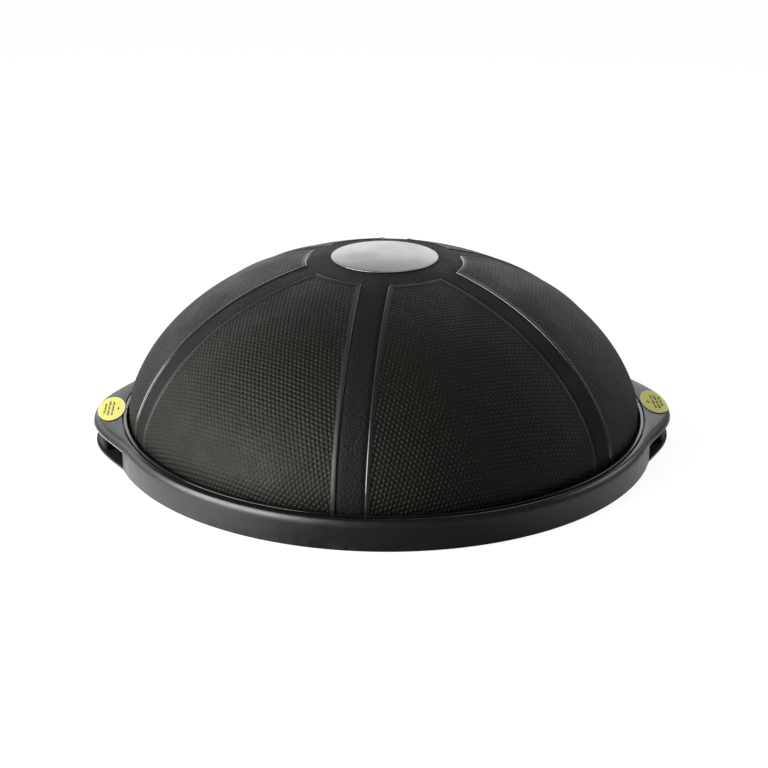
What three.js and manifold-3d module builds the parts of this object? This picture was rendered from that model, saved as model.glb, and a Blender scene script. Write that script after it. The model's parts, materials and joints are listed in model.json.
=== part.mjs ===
// Balance dome trainer: an inflated rubber dome clamped to a round two-shell platform.
// Millimetres, +Z up. The origin is on the floor under the dome's apex, and +X runs along
// the line through the two hand-hold lobes.
import * as THREE from "three";
import { mergeVertices } from "three/addons/utils/BufferGeometryUtils.js";
import Module from "manifold-3d";

const wasm = await Module();
wasm.setup();

// ---- Driving dimensions ----

const GAP = 0.3; // clearance between neighbouring pieces
const ROUND_SEGMENTS = 60; // facets round every large turned piece, so that they nest
const SMALL_SEGMENTS = 8; // facets round screws, bosses and their holes
const MEDIUM_SEGMENTS = 16; // facets round the feet and the valve
const OVERSHOOT = 5; // how far a cutting tool runs past the face it cuts
const OVERLAP = 1; // how far two solids reach into each other where they are joined
const FAR = 400; // farther out than any face, for cutting tools that are large blocks

// Rim and lobes of the platform.
const RIM_RADIUS = 300.5;
const RIM_TOP_Z = 34.5;
const RIM_BOTTOM_Z = 1;
const SHOULDER_WIDTH = 6;
const SHOULDER_HEIGHT = 9;
const SHOULDER_STEPS = 3;
const WALL = 2.8; // outer wall thickness
const LOBE_REACH = 24.5; // how far a lobe's tip stands out from the rim
const LOBE_HALF_ANGLE = 22; // degrees from the tip to where the lobe melts into the rim
const LOBE_FULLNESS = 1.7; // higher makes the lobe more pointed
const LOBE_PLATE_Z = 24.5; // underside of the lobe's top plate
const LOBE_SUNK = 0.5; // keeps the lobe's ends just inside the turned rim
const LOBE_STEP = 2; // degrees between the points of a lobe's outline
const LOBE_ROOT = 4; // how far a lobe's plan reaches inside the pocket's edge

// Deck and pocket that hold the dome.
const DECK_BOTTOM_Z = 18;
const DECK_TOP_Z = 20.7;
const POCKET_RADIUS = 291.7;
const POCKET_WALL = 2.5;
const POCKET_CHAMFER = 0.6;
const RIM_THICKNESS = 3; // of the rim's top, between the pocket's wall and the outer wall

// Hand-hold tunnels, one under each lobe, running front to rear.
const TUNNEL_FLOOR_Z = 4.3;
const TUNNEL_INNER_X = 284;
const TUNNEL_OUTER_X = 303;
const TUNNEL_HALF_LENGTH = 125;
const PILLAR_INSET = 5;
const PILLAR_HALF_LENGTH = 46;
const PILLAR_CURVE_SEGMENTS = 8;
const MOUTH_HALF_LENGTH = 92; // the side wall starts this far to the front and rear
const JAMB_END = 104;
const JAMB_START_X = 280;

// Base shell.
const BASE_BOTTOM_Z = 1.5;
const BASE_TOP_Z = 4;
const BASE_RADIUS = RIM_RADIUS - WALL - GAP;
const WING_INSET = 2.5;
const RIB_THICKNESS = 2.4;
const RIB_TOP_Z = DECK_BOTTOM_Z - GAP;
const RING_RIB_RADII = [110, 210];
const RING_RIB_SEGMENTS = 36;
const RADIAL_RIBS = 12;
const RADIAL_RIB_START = 60;
const RADIAL_RIB_END = 272;
const RADIAL_RIB_ANGLE = 0; // degrees of the first one

// Dome: an ellipsoid above DOME_BLEND_Z, and a wall that turns upright below it.
const DOME_HALF_WIDTH = 290.4;
const DOME_HALF_HEIGHT = 207.2;
const DOME_CENTRE_Z = 7.6;
const DOME_BLEND_Z = 60;
const DOME_UPRIGHT_DROP = 20; // the wall is upright this far below DOME_BLEND_Z
const DOME_THICKNESS = 5;
const DOME_STEPS = 9; // facets from the apex down to DOME_BLEND_Z
const DOME_WALL_STEPS = 3; // facets from there down to the flange
const CHAMBER_STEPS = 6;
const CHAMBER_WALL_STEPS = 2;
const PANEL_RAISE = 1.2; // how far the panels stand above the hub and the ribs
const PANEL_COUNT = 6;
const RIB_WIDTH = 28.5;
const FIRST_RIB_ANGLE = -99.6; // degrees
const HUB_RADIUS = 86;
const HUB_SEGMENTS = 36;
const BADGE_RADIUS = 58.8;
const BADGE_STEPS = 60; // dome facets that the badge's profile picks from
const BADGE_PICK = 3; // it takes every third one
const FLANGE_BOTTOM_Z = 23.3;
const FLANGE_TOP_Z = 27.3;
const FLANGE_OUTER_RADIUS = POCKET_RADIUS - 2 * GAP;
const FLANGE_INNER_RADIUS = 272;

// Air valve in the rib at the rear.
const VALVE_RIB = 3; // ribs counted from the first one
const VALVE_Z = 60;
const VALVE_BODY_RADIUS = 6.5;
const VALVE_FLANGE_RADIUS = 9;
const VALVE_FLANGE_THICKNESS = 1.2;
const VALVE_FLANGE_CHAMFER = 0.8;
const VALVE_DEPTH = 12;
const VALVE_BORE_RADIUS = 3.3;
const PLUG_SHAFT_RADIUS = 2.9;
const PLUG_SHAFT_LENGTH = 14;
const PLUG_HEAD_RADIUS = 6.5;
const PLUG_HEAD_THICKNESS = 2.2;
const PLUG_HEAD_EDGE = 1; // height of the head's upright edge
const PLUG_HEAD_CHAMFER = 1.6;
const PLUG_TIP_CHAMFER = { across: 0.7, along: 2 };

// Clamp ring.
const RING_INNER_RADIUS = 285;
const RING_OUTER_RADIUS = 290.6;
const RING_FOOT_RADIUS = POCKET_RADIUS - 0.4; // clears the pocket's wall
const RING_FOOT_TOP_Z = 30.5;
const RING_CHAMFER = 1;
const RING_SPLIT = 2.6; // gap between the two halves

// Fasteners and feet.
const CLAMP_SCREWS = 8;
const CLAMP_SCREW_START = 22.5; // degrees of the first one
const CLAMP_SCREW_CIRCLE = 288;
const CLAMP_SCREW_COVER = 1.5; // ring left above the screws' holes
const CLAMP_SCREW = { shaft: 1.6, head: 3.3, headHeight: 2.2, length: 14.5 };
const SHELL_SCREWS = 12;
const SHELL_SCREW_START = 15;
const SHELL_SCREW_CIRCLE = 258;
const SHELL_SCREW = { shaft: 2, head: 4.2, headHeight: 2.6, length: 12.5 };
const SHELL_SCREW_HEAD_Z = 3.2;
const SCREW_CROWN_RADIUS = 0.7; // of a screw head's flat, as a share of the head's radius
const SCREW_CROWN_HEIGHT = 0.5; // of the head's bevel, as a share of the head's height
const SCREW_TIP = 1.5; // length of a screw's point
const BOSS_RADIUS = 7;
const BOSS_SPLIT_Z = 13.7;
const FEET = 8;
const FOOT_START = 22.5;
const FOOT_CIRCLE = 282;
const FOOT_RADIUS = 11;
const FOOT_CHAMFER = 0.5;
const FOOT_POCKET_DEPTH = 1;

// Printed labels on the lobes.
const LABEL_HALF_WIDTH = 15.6;
const LABEL_HALF_LENGTH = 35.5;
const LABEL_CENTRES_X = { right: 307.5, left: 304.5 }; // stuck on by hand
const LABEL_THICKNESS = 0.4;
const LABEL_CURVE_SEGMENTS = 20;

// ---- Materials ----

const material = (color, roughness, metalness = 0) =>
  new THREE.MeshStandardMaterial({ color, roughness, metalness });
const domeRubber = () => material(0x1d1d1c, 0.7);
const innerRubber = () => material(0x2a2927, 0.8);
const footRubber = () => material(0x141414, 0.9);
const shellPlastic = () => material(0x2c2c2d, 0.42);
const badgeMetal = () => material(0xb9bbbd, 0.32, 0.9);
const screwSteel = () => material(0x9b9da1, 0.35, 1);
const labelVinyl = () => material(0xece57c, 0.5);

// ---- Small tools for shapes and solids ----

const radians = THREE.MathUtils.degToRad;
const v2 = (x, y) => new THREE.Vector2(x, y);
const onCircle = (radius, degrees) =>
  v2(radius * Math.cos(radians(degrees)), radius * Math.sin(radians(degrees)));

// A closed geometry as a solid that can be joined and cut.
function solid(geometry) {
  const bare = geometry.index ? geometry.toNonIndexed() : geometry.clone();
  bare.deleteAttribute("normal");
  bare.deleteAttribute("uv");
  const merged = mergeVertices(bare, 1e-4);
  return new wasm.Manifold(
    new wasm.Mesh({
      numProp: 3,
      vertProperties: merged.attributes.position.array,
      triVerts: new Uint32Array(merged.index.array),
    }),
  );
}

function geometryOf(body) {
  const mesh = body.getMesh();
  const geometry = new THREE.BufferGeometry();
  geometry.setAttribute("position", new THREE.BufferAttribute(mesh.vertProperties, 3));
  geometry.setIndex(new THREE.BufferAttribute(mesh.triVerts, 1));
  geometry.computeVertexNormals();
  return geometry;
}

const join = (bodies) => bodies.reduce((sum, body) => sum.add(body));
const cut = (body, tools) => tools.reduce((rest, tool) => rest.subtract(tool), body);

// A profile of (radius, z) points, listed anticlockwise, turned round the Z axis.
function turned(profile, segments = ROUND_SEGMENTS) {
  return new THREE.LatheGeometry(profile, segments).rotateX(Math.PI / 2);
}

function extruded(shape, bottomZ, topZ, curveSegments = 1) {
  const geometry = new THREE.ExtrudeGeometry(shape, {
    depth: topZ - bottomZ,
    bevelEnabled: false,
    curveSegments,
  });
  return geometry.translate(0, 0, bottomZ);
}

function upright(radius, bottomZ, topZ, at, segments = SMALL_SEGMENTS) {
  const geometry = new THREE.CylinderGeometry(radius, radius, topZ - bottomZ, segments);
  return geometry.rotateX(Math.PI / 2).translate(at.x, at.y, (topZ + bottomZ) / 2);
}

function block(lowX, highX, lowY, highY, lowZ, highZ) {
  const geometry = new THREE.BoxGeometry(highX - lowX, highY - lowY, highZ - lowZ);
  return geometry.translate((lowX + highX) / 2, (lowY + highY) / 2, (lowZ + highZ) / 2);
}

function pieceOf(name, geometry, look) {
  const mesh = new THREE.Mesh(geometry, look);
  mesh.name = name;
  return mesh;
}

const numbered = (name, index) => `${name}_${String(index + 1).padStart(2, "0")}`;
const evenly = (count, startAngle) =>
  Array.from({ length: count }, (_, i) => startAngle + (i * 360) / count);
const clampScrewPlaces = () =>
  evenly(CLAMP_SCREWS, CLAMP_SCREW_START).map((angle) => onCircle(CLAMP_SCREW_CIRCLE, angle));
const shellScrewPlaces = () =>
  evenly(SHELL_SCREWS, SHELL_SCREW_START).map((angle) => onCircle(SHELL_SCREW_CIRCLE, angle));
const footPlaces = () => evenly(FEET, FOOT_START).map((angle) => onCircle(FOOT_CIRCLE, angle));

const clampScrewHoles = (bottomZ, topZ) =>
  clampScrewPlaces().map((at) =>
    solid(upright(CLAMP_SCREW.shaft + GAP, bottomZ, topZ, at)),
  );

// ---- The dome's surface ----

function domeRadius(z) {
  const rise = (z - DOME_CENTRE_Z) / DOME_HALF_HEIGHT;
  return DOME_HALF_WIDTH * Math.sqrt(1 - rise * rise);
}

// The outward slope of the ellipsoid at DOME_BLEND_Z, in mm of radius per mm of drop.
const BLEND_SLOPE =
  ((DOME_HALF_WIDTH / DOME_HALF_HEIGHT) ** 2 * (DOME_BLEND_Z - DOME_CENTRE_Z)) /
  domeRadius(DOME_BLEND_Z);

// Points of the dome's profile from the apex down to lowZ, moved inwards by inset.
function domeProfile(inset, lowZ, ellipseSteps, wallSteps) {
  const points = [];
  const blendTurn = Math.acos((DOME_BLEND_Z - DOME_CENTRE_Z) / DOME_HALF_HEIGHT);
  for (let i = 0; i <= ellipseSteps; i++) {
    const turn = (blendTurn * i) / ellipseSteps;
    const normal = v2(Math.sin(turn) / DOME_HALF_WIDTH, Math.cos(turn) / DOME_HALF_HEIGHT);
    const point = v2(
      DOME_HALF_WIDTH * Math.sin(turn),
      DOME_CENTRE_Z + DOME_HALF_HEIGHT * Math.cos(turn),
    );
    points.push(point.addScaledVector(normal.normalize(), -inset));
  }
  for (let i = 1; i <= wallSteps; i++) {
    const drop = ((DOME_BLEND_Z - lowZ) * i) / wallSteps;
    const bulge = BLEND_SLOPE * (drop - (drop * drop) / (2 * DOME_UPRIGHT_DROP));
    points.push(v2(domeRadius(DOME_BLEND_Z) + bulge - inset, DOME_BLEND_Z - drop));
  }
  points[0].x = 0;
  return points;
}

const ribAngles = () => evenly(PANEL_COUNT, FIRST_RIB_ANGLE);

// Everything between the panels: the hub disc and the six ribs, as a tall cutter.
function hubAndRibs() {
  const top = DOME_CENTRE_Z + DOME_HALF_HEIGHT + 2 * OVERSHOOT;
  const hub = solid(upright(HUB_RADIUS, 0, top, v2(0, 0), HUB_SEGMENTS));
  const bars = ribAngles().map((angle) => {
    const bar = block(0, FAR, -RIB_WIDTH / 2, RIB_WIDTH / 2, 0, top);
    return solid(bar.rotateZ(radians(angle)));
  });
  return join([hub, ...bars]);
}

// The skin that is missing over the hub and ribs, PANEL_RAISE deep.
function panelRecess() {
  const low = RIM_TOP_Z - 2 * OVERLAP;
  const top = domeProfile(-OVERSHOOT, low, DOME_STEPS, DOME_WALL_STEPS);
  const bottom = domeProfile(PANEL_RAISE, low, DOME_STEPS, DOME_WALL_STEPS);
  const layer = solid(turned([...bottom, ...top.reverse()]));
  return layer.intersect(hubAndRibs());
}

// ---- Valve ----

// Moves a piece made along +X, with its outer face at x = 0, to the valve's place.
function toValve(geometry) {
  const slope = Math.atan(BLEND_SLOPE);
  const angle = FIRST_RIB_ANGLE + (VALVE_RIB * 360) / PANEL_COUNT;
  return geometry
    .rotateY(-slope)
    .translate(domeRadius(VALVE_Z) - PANEL_RAISE, 0, VALVE_Z)
    .rotateZ(radians(angle));
}

// A (radius, distance) profile turned round the +X axis.
function turnedOnX(profile, segments) {
  return new THREE.LatheGeometry(profile, segments).rotateZ(-Math.PI / 2);
}

function valveSleeve() {
  const out = VALVE_FLANGE_THICKNESS + GAP;
  const profile = [
    v2(VALVE_BORE_RADIUS, -VALVE_DEPTH),
    v2(VALVE_BODY_RADIUS, -VALVE_DEPTH),
    v2(VALVE_BODY_RADIUS, GAP),
    v2(VALVE_FLANGE_RADIUS, GAP),
    v2(VALVE_FLANGE_RADIUS, out - VALVE_FLANGE_CHAMFER / 2),
    v2(VALVE_FLANGE_RADIUS - VALVE_FLANGE_CHAMFER, out),
    v2(VALVE_BORE_RADIUS, out),
    v2(VALVE_BORE_RADIUS, -VALVE_DEPTH),
  ];
  return pieceOf("valve_sleeve", toValve(turnedOnX(profile, MEDIUM_SEGMENTS)), innerRubber());
}

function valvePlug() {
  const seat = VALVE_FLANGE_THICKNESS + 2 * GAP;
  const tip = seat - PLUG_SHAFT_LENGTH;
  const profile = [
    v2(0, tip),
    v2(PLUG_SHAFT_RADIUS - PLUG_TIP_CHAMFER.across, tip),
    v2(PLUG_SHAFT_RADIUS, tip + PLUG_TIP_CHAMFER.along),
    v2(PLUG_SHAFT_RADIUS, seat),
    v2(PLUG_HEAD_RADIUS, seat),
    v2(PLUG_HEAD_RADIUS, seat + PLUG_HEAD_EDGE),
    v2(PLUG_HEAD_RADIUS - PLUG_HEAD_CHAMFER, seat + PLUG_HEAD_THICKNESS),
    v2(0, seat + PLUG_HEAD_THICKNESS),
  ];
  return pieceOf("valve_plug", toValve(turnedOnX(profile, MEDIUM_SEGMENTS)), footRubber());
}

// ---- Dome, floor and badge ----

function domeMembrane() {
  const low = FLANGE_TOP_Z;
  const outer = domeProfile(0, low, DOME_STEPS, DOME_WALL_STEPS);
  const inner = domeProfile(DOME_THICKNESS, low, CHAMBER_STEPS, CHAMBER_WALL_STEPS);
  const profile = [
    ...inner,
    v2(FLANGE_INNER_RADIUS, FLANGE_TOP_Z),
    v2(FLANGE_INNER_RADIUS, FLANGE_BOTTOM_Z),
    v2(FLANGE_OUTER_RADIUS, FLANGE_BOTTOM_Z),
    v2(FLANGE_OUTER_RADIUS, FLANGE_TOP_Z),
    ...outer.reverse(),
  ];
  const holeRadius = VALVE_BODY_RADIUS + GAP;
  const holeLength = 3 * VALVE_DEPTH;
  const valveHole = new THREE.CylinderGeometry(
    holeRadius,
    holeRadius,
    holeLength,
    MEDIUM_SEGMENTS,
  );
  const tools = [
    panelRecess(),
    solid(toValve(valveHole.rotateZ(Math.PI / 2))),
    ...clampScrewHoles(FLANGE_BOTTOM_Z - OVERLAP, FLANGE_TOP_Z + OVERLAP),
  ];
  const body = cut(solid(turned(profile)), tools);
  return pieceOf("dome_membrane", geometryOf(body), domeRubber());
}

function bladderFloor() {
  const bottom = DECK_TOP_Z + GAP;
  const top = FLANGE_BOTTOM_Z - GAP;
  const disc = solid(upright(FLANGE_OUTER_RADIUS, bottom, top, v2(0, 0), ROUND_SEGMENTS));
  const body = cut(disc, clampScrewHoles(bottom - OVERLAP, top + OVERLAP));
  return pieceOf("bladder_floor", geometryOf(body), innerRubber());
}

function hubBadge() {
  const surface = (inset) => {
    const points = domeProfile(inset, RIM_TOP_Z, BADGE_STEPS, 1);
    const inside = points.filter((point) => point.x < BADGE_RADIUS - 2 * OVERLAP);
    const picked = inside.filter((_, i) => i % BADGE_PICK === 0);
    const edge = points.find((point) => point.x >= BADGE_RADIUS);
    return [...picked, v2(BADGE_RADIUS, edge.y)];
  };
  const bottom = surface(PANEL_RAISE - GAP);
  const top = surface(0);
  const profile = [...bottom, ...top.reverse()];
  return pieceOf("hub_badge", turned(profile, HUB_SEGMENTS), badgeMetal());
}

// ---- Platform ----

// Distance of the platform's outline from the axis, at an angle from a lobe's tip.
function outlineRadius(degrees, inset) {
  const share = Math.min(Math.abs(degrees) / LOBE_HALF_ANGLE, 1);
  const bump = LOBE_REACH * Math.cos((share * Math.PI) / 2) ** LOBE_FULLNESS;
  return RIM_RADIUS - inset + bump;
}

// A lobe's plan, from the pocket's edge out to the outline moved in by inset.
function lobeShape(inset) {
  const points = [];
  const reach = LOBE_HALF_ANGLE + LOBE_STEP;
  for (let degrees = -reach; degrees <= reach; degrees += LOBE_STEP) {
    points.push(onCircle(outlineRadius(degrees, inset), degrees));
  }
  points.push(onCircle(POCKET_RADIUS - LOBE_ROOT, reach));
  points.push(onCircle(POCKET_RADIUS - LOBE_ROOT, -reach));
  return new THREE.Shape(points);
}

// The lobe's thick top plate, with a shoulder like the rim's.
function lobePlate() {
  const depth = RIM_TOP_Z - SHOULDER_HEIGHT - (LOBE_PLATE_Z - 2 * OVERSHOOT);
  const geometry = new THREE.ExtrudeGeometry(lobeShape(SHOULDER_WIDTH + LOBE_SUNK), {
    depth,
    bevelThickness: SHOULDER_HEIGHT,
    bevelSize: SHOULDER_WIDTH,
    bevelSegments: SHOULDER_STEPS,
    curveSegments: 1,
  });
  const bottom = RIM_TOP_Z - SHOULDER_HEIGHT - depth;
  const plate = solid(geometry.translate(0, 0, bottom));
  return plate.subtract(solid(block(0, FAR, -FAR, FAR, -FAR, LOBE_PLATE_Z)));
}

// The post that closes a lobe's tip and keeps the hand-hold from opening outwards.
function tipPillar() {
  const half = PILLAR_HALF_LENGTH;
  const outer = RIM_RADIUS + LOBE_REACH;
  const radius = (outer - PILLAR_INSET - TUNNEL_OUTER_X) / 2;
  const middle = TUNNEL_OUTER_X + radius;
  const shape = new THREE.Shape();
  shape.moveTo(TUNNEL_OUTER_X, -half + radius);
  shape.absarc(middle, -half + radius, radius, Math.PI, 2 * Math.PI, false);
  shape.lineTo(middle + radius, half - radius);
  shape.absarc(middle, half - radius, radius, 0, Math.PI, false);
  const top = LOBE_PLATE_Z + OVERLAP;
  const post = solid(extruded(shape, TUNNEL_FLOOR_Z, top, PILLAR_CURVE_SEGMENTS));
  return post.intersect(solid(extruded(lobeShape(PILLAR_INSET), 0, top + OVERLAP)));
}

// The ends of the rim's side wall, which run out along the lobe's edge to the hand-hold.
function mouthJambs() {
  const top = LOBE_PLATE_Z + OVERLAP;
  const outside = solid(extruded(lobeShape(WING_INSET), TUNNEL_FLOOR_Z, top));
  const inside = solid(extruded(lobeShape(WING_INSET + WALL), 0, top + OVERLAP));
  const front = block(JAMB_START_X, FAR, -JAMB_END, -MOUTH_HALF_LENGTH, 0, top);
  const rear = block(JAMB_START_X, FAR, MOUTH_HALF_LENGTH, JAMB_END, 0, top);
  return outside.subtract(inside).intersect(solid(front).add(solid(rear)));
}

// The two blocks of space that make one hand-hold tunnel.
function tunnelSpace() {
  const half = TUNNEL_HALF_LENGTH;
  const lower = solid(
    block(TUNNEL_INNER_X, FAR, -half, half, -OVERSHOOT, DECK_BOTTOM_Z),
  );
  const upper = solid(
    block(TUNNEL_INNER_X, FAR, -half, half, DECK_BOTTOM_Z - OVERLAP, LOBE_PLATE_Z),
  );
  const pocketWall = solid(
    upright(POCKET_RADIUS + POCKET_WALL, 0, RIM_TOP_Z, v2(0, 0), ROUND_SEGMENTS),
  );
  return lower.add(upper.subtract(pocketWall));
}

function tunnelInnerWall() {
  const wall = block(
    TUNNEL_INNER_X - POCKET_WALL,
    TUNNEL_INNER_X,
    -TUNNEL_HALF_LENGTH,
    TUNNEL_HALF_LENGTH,
    TUNNEL_FLOOR_Z,
    DECK_BOTTOM_Z + OVERLAP,
  );
  const reach = RIM_RADIUS - WALL + OVERLAP;
  const inside = upright(reach, 0, RIM_TOP_Z, v2(0, 0), ROUND_SEGMENTS);
  return solid(wall).intersect(solid(inside));
}

function rimProfile() {
  const innerFace = RIM_RADIUS - WALL;
  const points = [
    v2(0, DECK_BOTTOM_Z),
    v2(POCKET_RADIUS + POCKET_WALL, DECK_BOTTOM_Z),
    v2(POCKET_RADIUS + POCKET_WALL, RIM_TOP_Z - RIM_THICKNESS),
    v2(innerFace, RIM_TOP_Z - RIM_THICKNESS),
    v2(innerFace, RIM_BOTTOM_Z),
    v2(RIM_RADIUS, RIM_BOTTOM_Z),
  ];
  for (let i = 0; i <= SHOULDER_STEPS; i++) {
    const turn = (Math.PI / 2) * (i / SHOULDER_STEPS);
    points.push(
      v2(
        RIM_RADIUS - SHOULDER_WIDTH * (1 - Math.cos(turn)),
        RIM_TOP_Z - SHOULDER_HEIGHT * (1 - Math.sin(turn)),
      ),
    );
  }
  points.push(v2(POCKET_RADIUS + POCKET_CHAMFER, RIM_TOP_Z));
  points.push(v2(POCKET_RADIUS, RIM_TOP_Z - POCKET_CHAMFER));
  points.push(v2(POCKET_RADIUS, DECK_TOP_Z));
  points.push(v2(0, DECK_TOP_Z));
  return points;
}

// A body made for the right-hand lobe, and its copy turned to the left-hand one.
const onBothSides = (body) => [body, body.rotate([0, 0, 180])];

function upperShell() {
  const bosses = shellScrewPlaces().map((at) =>
    solid(upright(BOSS_RADIUS, BOSS_SPLIT_Z + GAP, DECK_BOTTOM_Z + OVERLAP, at)),
  );
  const pocket = solid(
    upright(POCKET_RADIUS, DECK_TOP_Z, RIM_TOP_Z + OVERSHOOT, v2(0, 0), ROUND_SEGMENTS),
  );
  const screwHoles = shellScrewPlaces().map((at) =>
    solid(upright(SHELL_SCREW.shaft + GAP, BOSS_SPLIT_Z, DECK_TOP_Z - OVERLAP, at)),
  );
  const round = solid(turned(rimProfile()));
  const withLobes = join([round, ...onBothSides(lobePlate())]);
  const open = cut(withLobes, [pocket, ...onBothSides(tunnelSpace())]);
  const full = join([
    open,
    ...onBothSides(tunnelInnerWall()),
    ...onBothSides(tipPillar()),
    ...onBothSides(mouthJambs()),
    ...bosses,
  ]);
  const body = cut(full, [
    ...screwHoles,
    ...clampScrewHoles(DECK_BOTTOM_Z - OVERLAP, DECK_TOP_Z + OVERLAP),
  ]);
  return pieceOf("platform_upper_shell", geometryOf(body), shellPlastic());
}

function baseRibs() {
  const low = BASE_TOP_Z - OVERLAP;
  const radial = evenly(RADIAL_RIBS, RADIAL_RIB_ANGLE).map((angle) => {
    const half = RIB_THICKNESS / 2;
    const rib = block(RADIAL_RIB_START, RADIAL_RIB_END, -half, half, low, RIB_TOP_Z);
    return solid(rib.rotateZ(radians(angle)));
  });
  const rings = RING_RIB_RADII.map((radius) => {
    const profile = [
      v2(radius, low),
      v2(radius + RIB_THICKNESS, low),
      v2(radius + RIB_THICKNESS, RIB_TOP_Z),
      v2(radius, RIB_TOP_Z),
      v2(radius, low),
    ];
    return solid(turned(profile, RING_RIB_SEGMENTS));
  });
  return [...radial, ...rings];
}

// The base shell's flange under a lobe, which closes the hand-hold from below.
function baseWing() {
  const plan = solid(extruded(lobeShape(WING_INSET), BASE_BOTTOM_Z, BASE_TOP_Z));
  const reach = TUNNEL_HALF_LENGTH;
  return plan.intersect(
    solid(block(TUNNEL_INNER_X + GAP, FAR, -reach, reach, 0, BASE_TOP_Z + OVERLAP)),
  );
}

function baseShell() {
  const disc = solid(
    upright(BASE_RADIUS, BASE_BOTTOM_Z, BASE_TOP_Z, v2(0, 0), ROUND_SEGMENTS),
  );
  const bosses = shellScrewPlaces().map((at) =>
    solid(upright(BOSS_RADIUS, BASE_BOTTOM_Z, BOSS_SPLIT_Z, at)),
  );
  const seatZ = SHELL_SCREW_HEAD_Z + SHELL_SCREW.headHeight + GAP;
  const counterbores = shellScrewPlaces().map((at) =>
    solid(upright(SHELL_SCREW.head + GAP, BASE_BOTTOM_Z - OVERLAP, seatZ, at)),
  );
  const holes = shellScrewPlaces().map((at) =>
    solid(upright(SHELL_SCREW.shaft + GAP, seatZ - OVERLAP, BOSS_SPLIT_Z + OVERLAP, at)),
  );
  const footPockets = footPlaces().map((at) =>
    solid(
      upright(
        FOOT_RADIUS + GAP,
        0,
        BASE_BOTTOM_Z + FOOT_POCKET_DEPTH,
        at,
        MEDIUM_SEGMENTS,
      ),
    ),
  );
  const full = join([disc, ...onBothSides(baseWing()), ...baseRibs(), ...bosses]);
  const body = cut(full, [...counterbores, ...holes, ...footPockets]);
  return pieceOf("platform_base_shell", geometryOf(body), shellPlastic());
}

// ---- Clamp ring ----

function clampRing() {
  const round = RING_CHAMFER;
  const profile = [
    v2(RING_INNER_RADIUS, FLANGE_TOP_Z + GAP),
    v2(RING_FOOT_RADIUS, FLANGE_TOP_Z + GAP),
    v2(RING_FOOT_RADIUS, RING_FOOT_TOP_Z),
    v2(RING_OUTER_RADIUS, RING_FOOT_TOP_Z),
    v2(RING_OUTER_RADIUS, RIM_TOP_Z - round),
    v2(RING_OUTER_RADIUS - round, RIM_TOP_Z),
    v2(RING_INNER_RADIUS + round, RIM_TOP_Z),
    v2(RING_INNER_RADIUS, RIM_TOP_Z - round),
    v2(RING_INNER_RADIUS, FLANGE_TOP_Z + GAP),
  ];
  return cut(solid(turned(profile)), clampScrewHoles(FLANGE_TOP_Z, RIM_TOP_Z - CLAMP_SCREW_COVER));
}

function clampRingHalves() {
  const whole = clampRing();
  const edge = RING_SPLIT / 2;
  const front = whole.subtract(solid(block(-FAR, FAR, -edge, FAR, 0, FAR)));
  const rear = whole.subtract(solid(block(-FAR, FAR, -FAR, edge, 0, FAR)));
  return [
    pieceOf("clamp_ring_front", geometryOf(front), shellPlastic()),
    pieceOf("clamp_ring_rear", geometryOf(rear), shellPlastic()),
  ];
}

// ---- Screws, feet and labels ----

// A pan-head screw that points up, with the underside of its head at seatZ.
function screw(name, size, seatZ, at) {
  const profile = [
    v2(0, seatZ - size.headHeight),
    v2(size.head * SCREW_CROWN_RADIUS, seatZ - size.headHeight),
    v2(size.head, seatZ - size.headHeight * SCREW_CROWN_HEIGHT),
    v2(size.head, seatZ),
    v2(size.shaft, seatZ),
    v2(size.shaft, seatZ + size.length - SCREW_TIP),
    v2(0, seatZ + size.length),
  ];
  const mesh = pieceOf(name, turned(profile, SMALL_SEGMENTS), screwSteel());
  mesh.position.set(at.x, at.y, 0);
  return mesh;
}

const clampScrews = () =>
  clampScrewPlaces().map((at, i) =>
    screw(numbered("clamp_screw", i), CLAMP_SCREW, DECK_BOTTOM_Z - GAP, at),
  );

const shellScrews = () =>
  shellScrewPlaces().map((at, i) => {
    const seatZ = SHELL_SCREW_HEAD_Z + SHELL_SCREW.headHeight;
    return screw(numbered("shell_screw", i), SHELL_SCREW, seatZ, at);
  });

function rubberFeet() {
  const top = BASE_BOTTOM_Z + FOOT_POCKET_DEPTH - GAP;
  const profile = [
    v2(0, 0),
    v2(FOOT_RADIUS - FOOT_CHAMFER, 0),
    v2(FOOT_RADIUS, FOOT_CHAMFER),
    v2(FOOT_RADIUS, top),
    v2(0, top),
  ];
  return footPlaces().map((at, i) => {
    const geometry = turned(profile, MEDIUM_SEGMENTS);
    const mesh = pieceOf(numbered("rubber_foot", i), geometry, footRubber());
    mesh.position.set(at.x, at.y, 0);
    return mesh;
  });
}

// Thin films that lie on the lobes and bend down with their shoulders.
function handleLabel(side, centreX) {
  const shape = new THREE.Shape();
  const width = LABEL_HALF_WIDTH;
  shape.absellipse(centreX, 0, width, LABEL_HALF_LENGTH, 0, 2 * Math.PI, false);
  const high = RIM_TOP_Z + OVERSHOOT;
  const column = solid(extruded(shape, LOBE_PLATE_Z + OVERSHOOT, high, LABEL_CURVE_SEGMENTS));
  const film = lobePlate().translate([0, 0, GAP + LABEL_THICKNESS]);
  const label = film.subtract(lobePlate().translate([0, 0, GAP])).intersect(column);
  const [onRight, onLeft] = onBothSides(label);
  const body = side === "right" ? onRight : onLeft;
  return pieceOf(`handle_label_${side}`, geometryOf(body), labelVinyl());
}

function handleLabels() {
  return Object.entries(LABEL_CENTRES_X).map(([side, x]) => handleLabel(side, x));
}

// ---- The whole object ----

const trainer = new THREE.Group();
trainer.add(domeMembrane(), bladderFloor(), hubBadge());
trainer.add(valveSleeve(), valvePlug());
trainer.add(upperShell(), baseShell());
trainer.add(...clampRingHalves());
trainer.add(...clampScrews(), ...shellScrews(), ...rubberFeet());
trainer.add(...handleLabels());

export default trainer;
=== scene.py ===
"""Looks for the balance dome trainer: an inflated rubber dome clamped to a round platform.

Metres, in the CAD frame: the origin is on the floor under the dome's apex, +X runs through the
two hand-hold lobes and +Z is up.
"""

import json
import math

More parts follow.
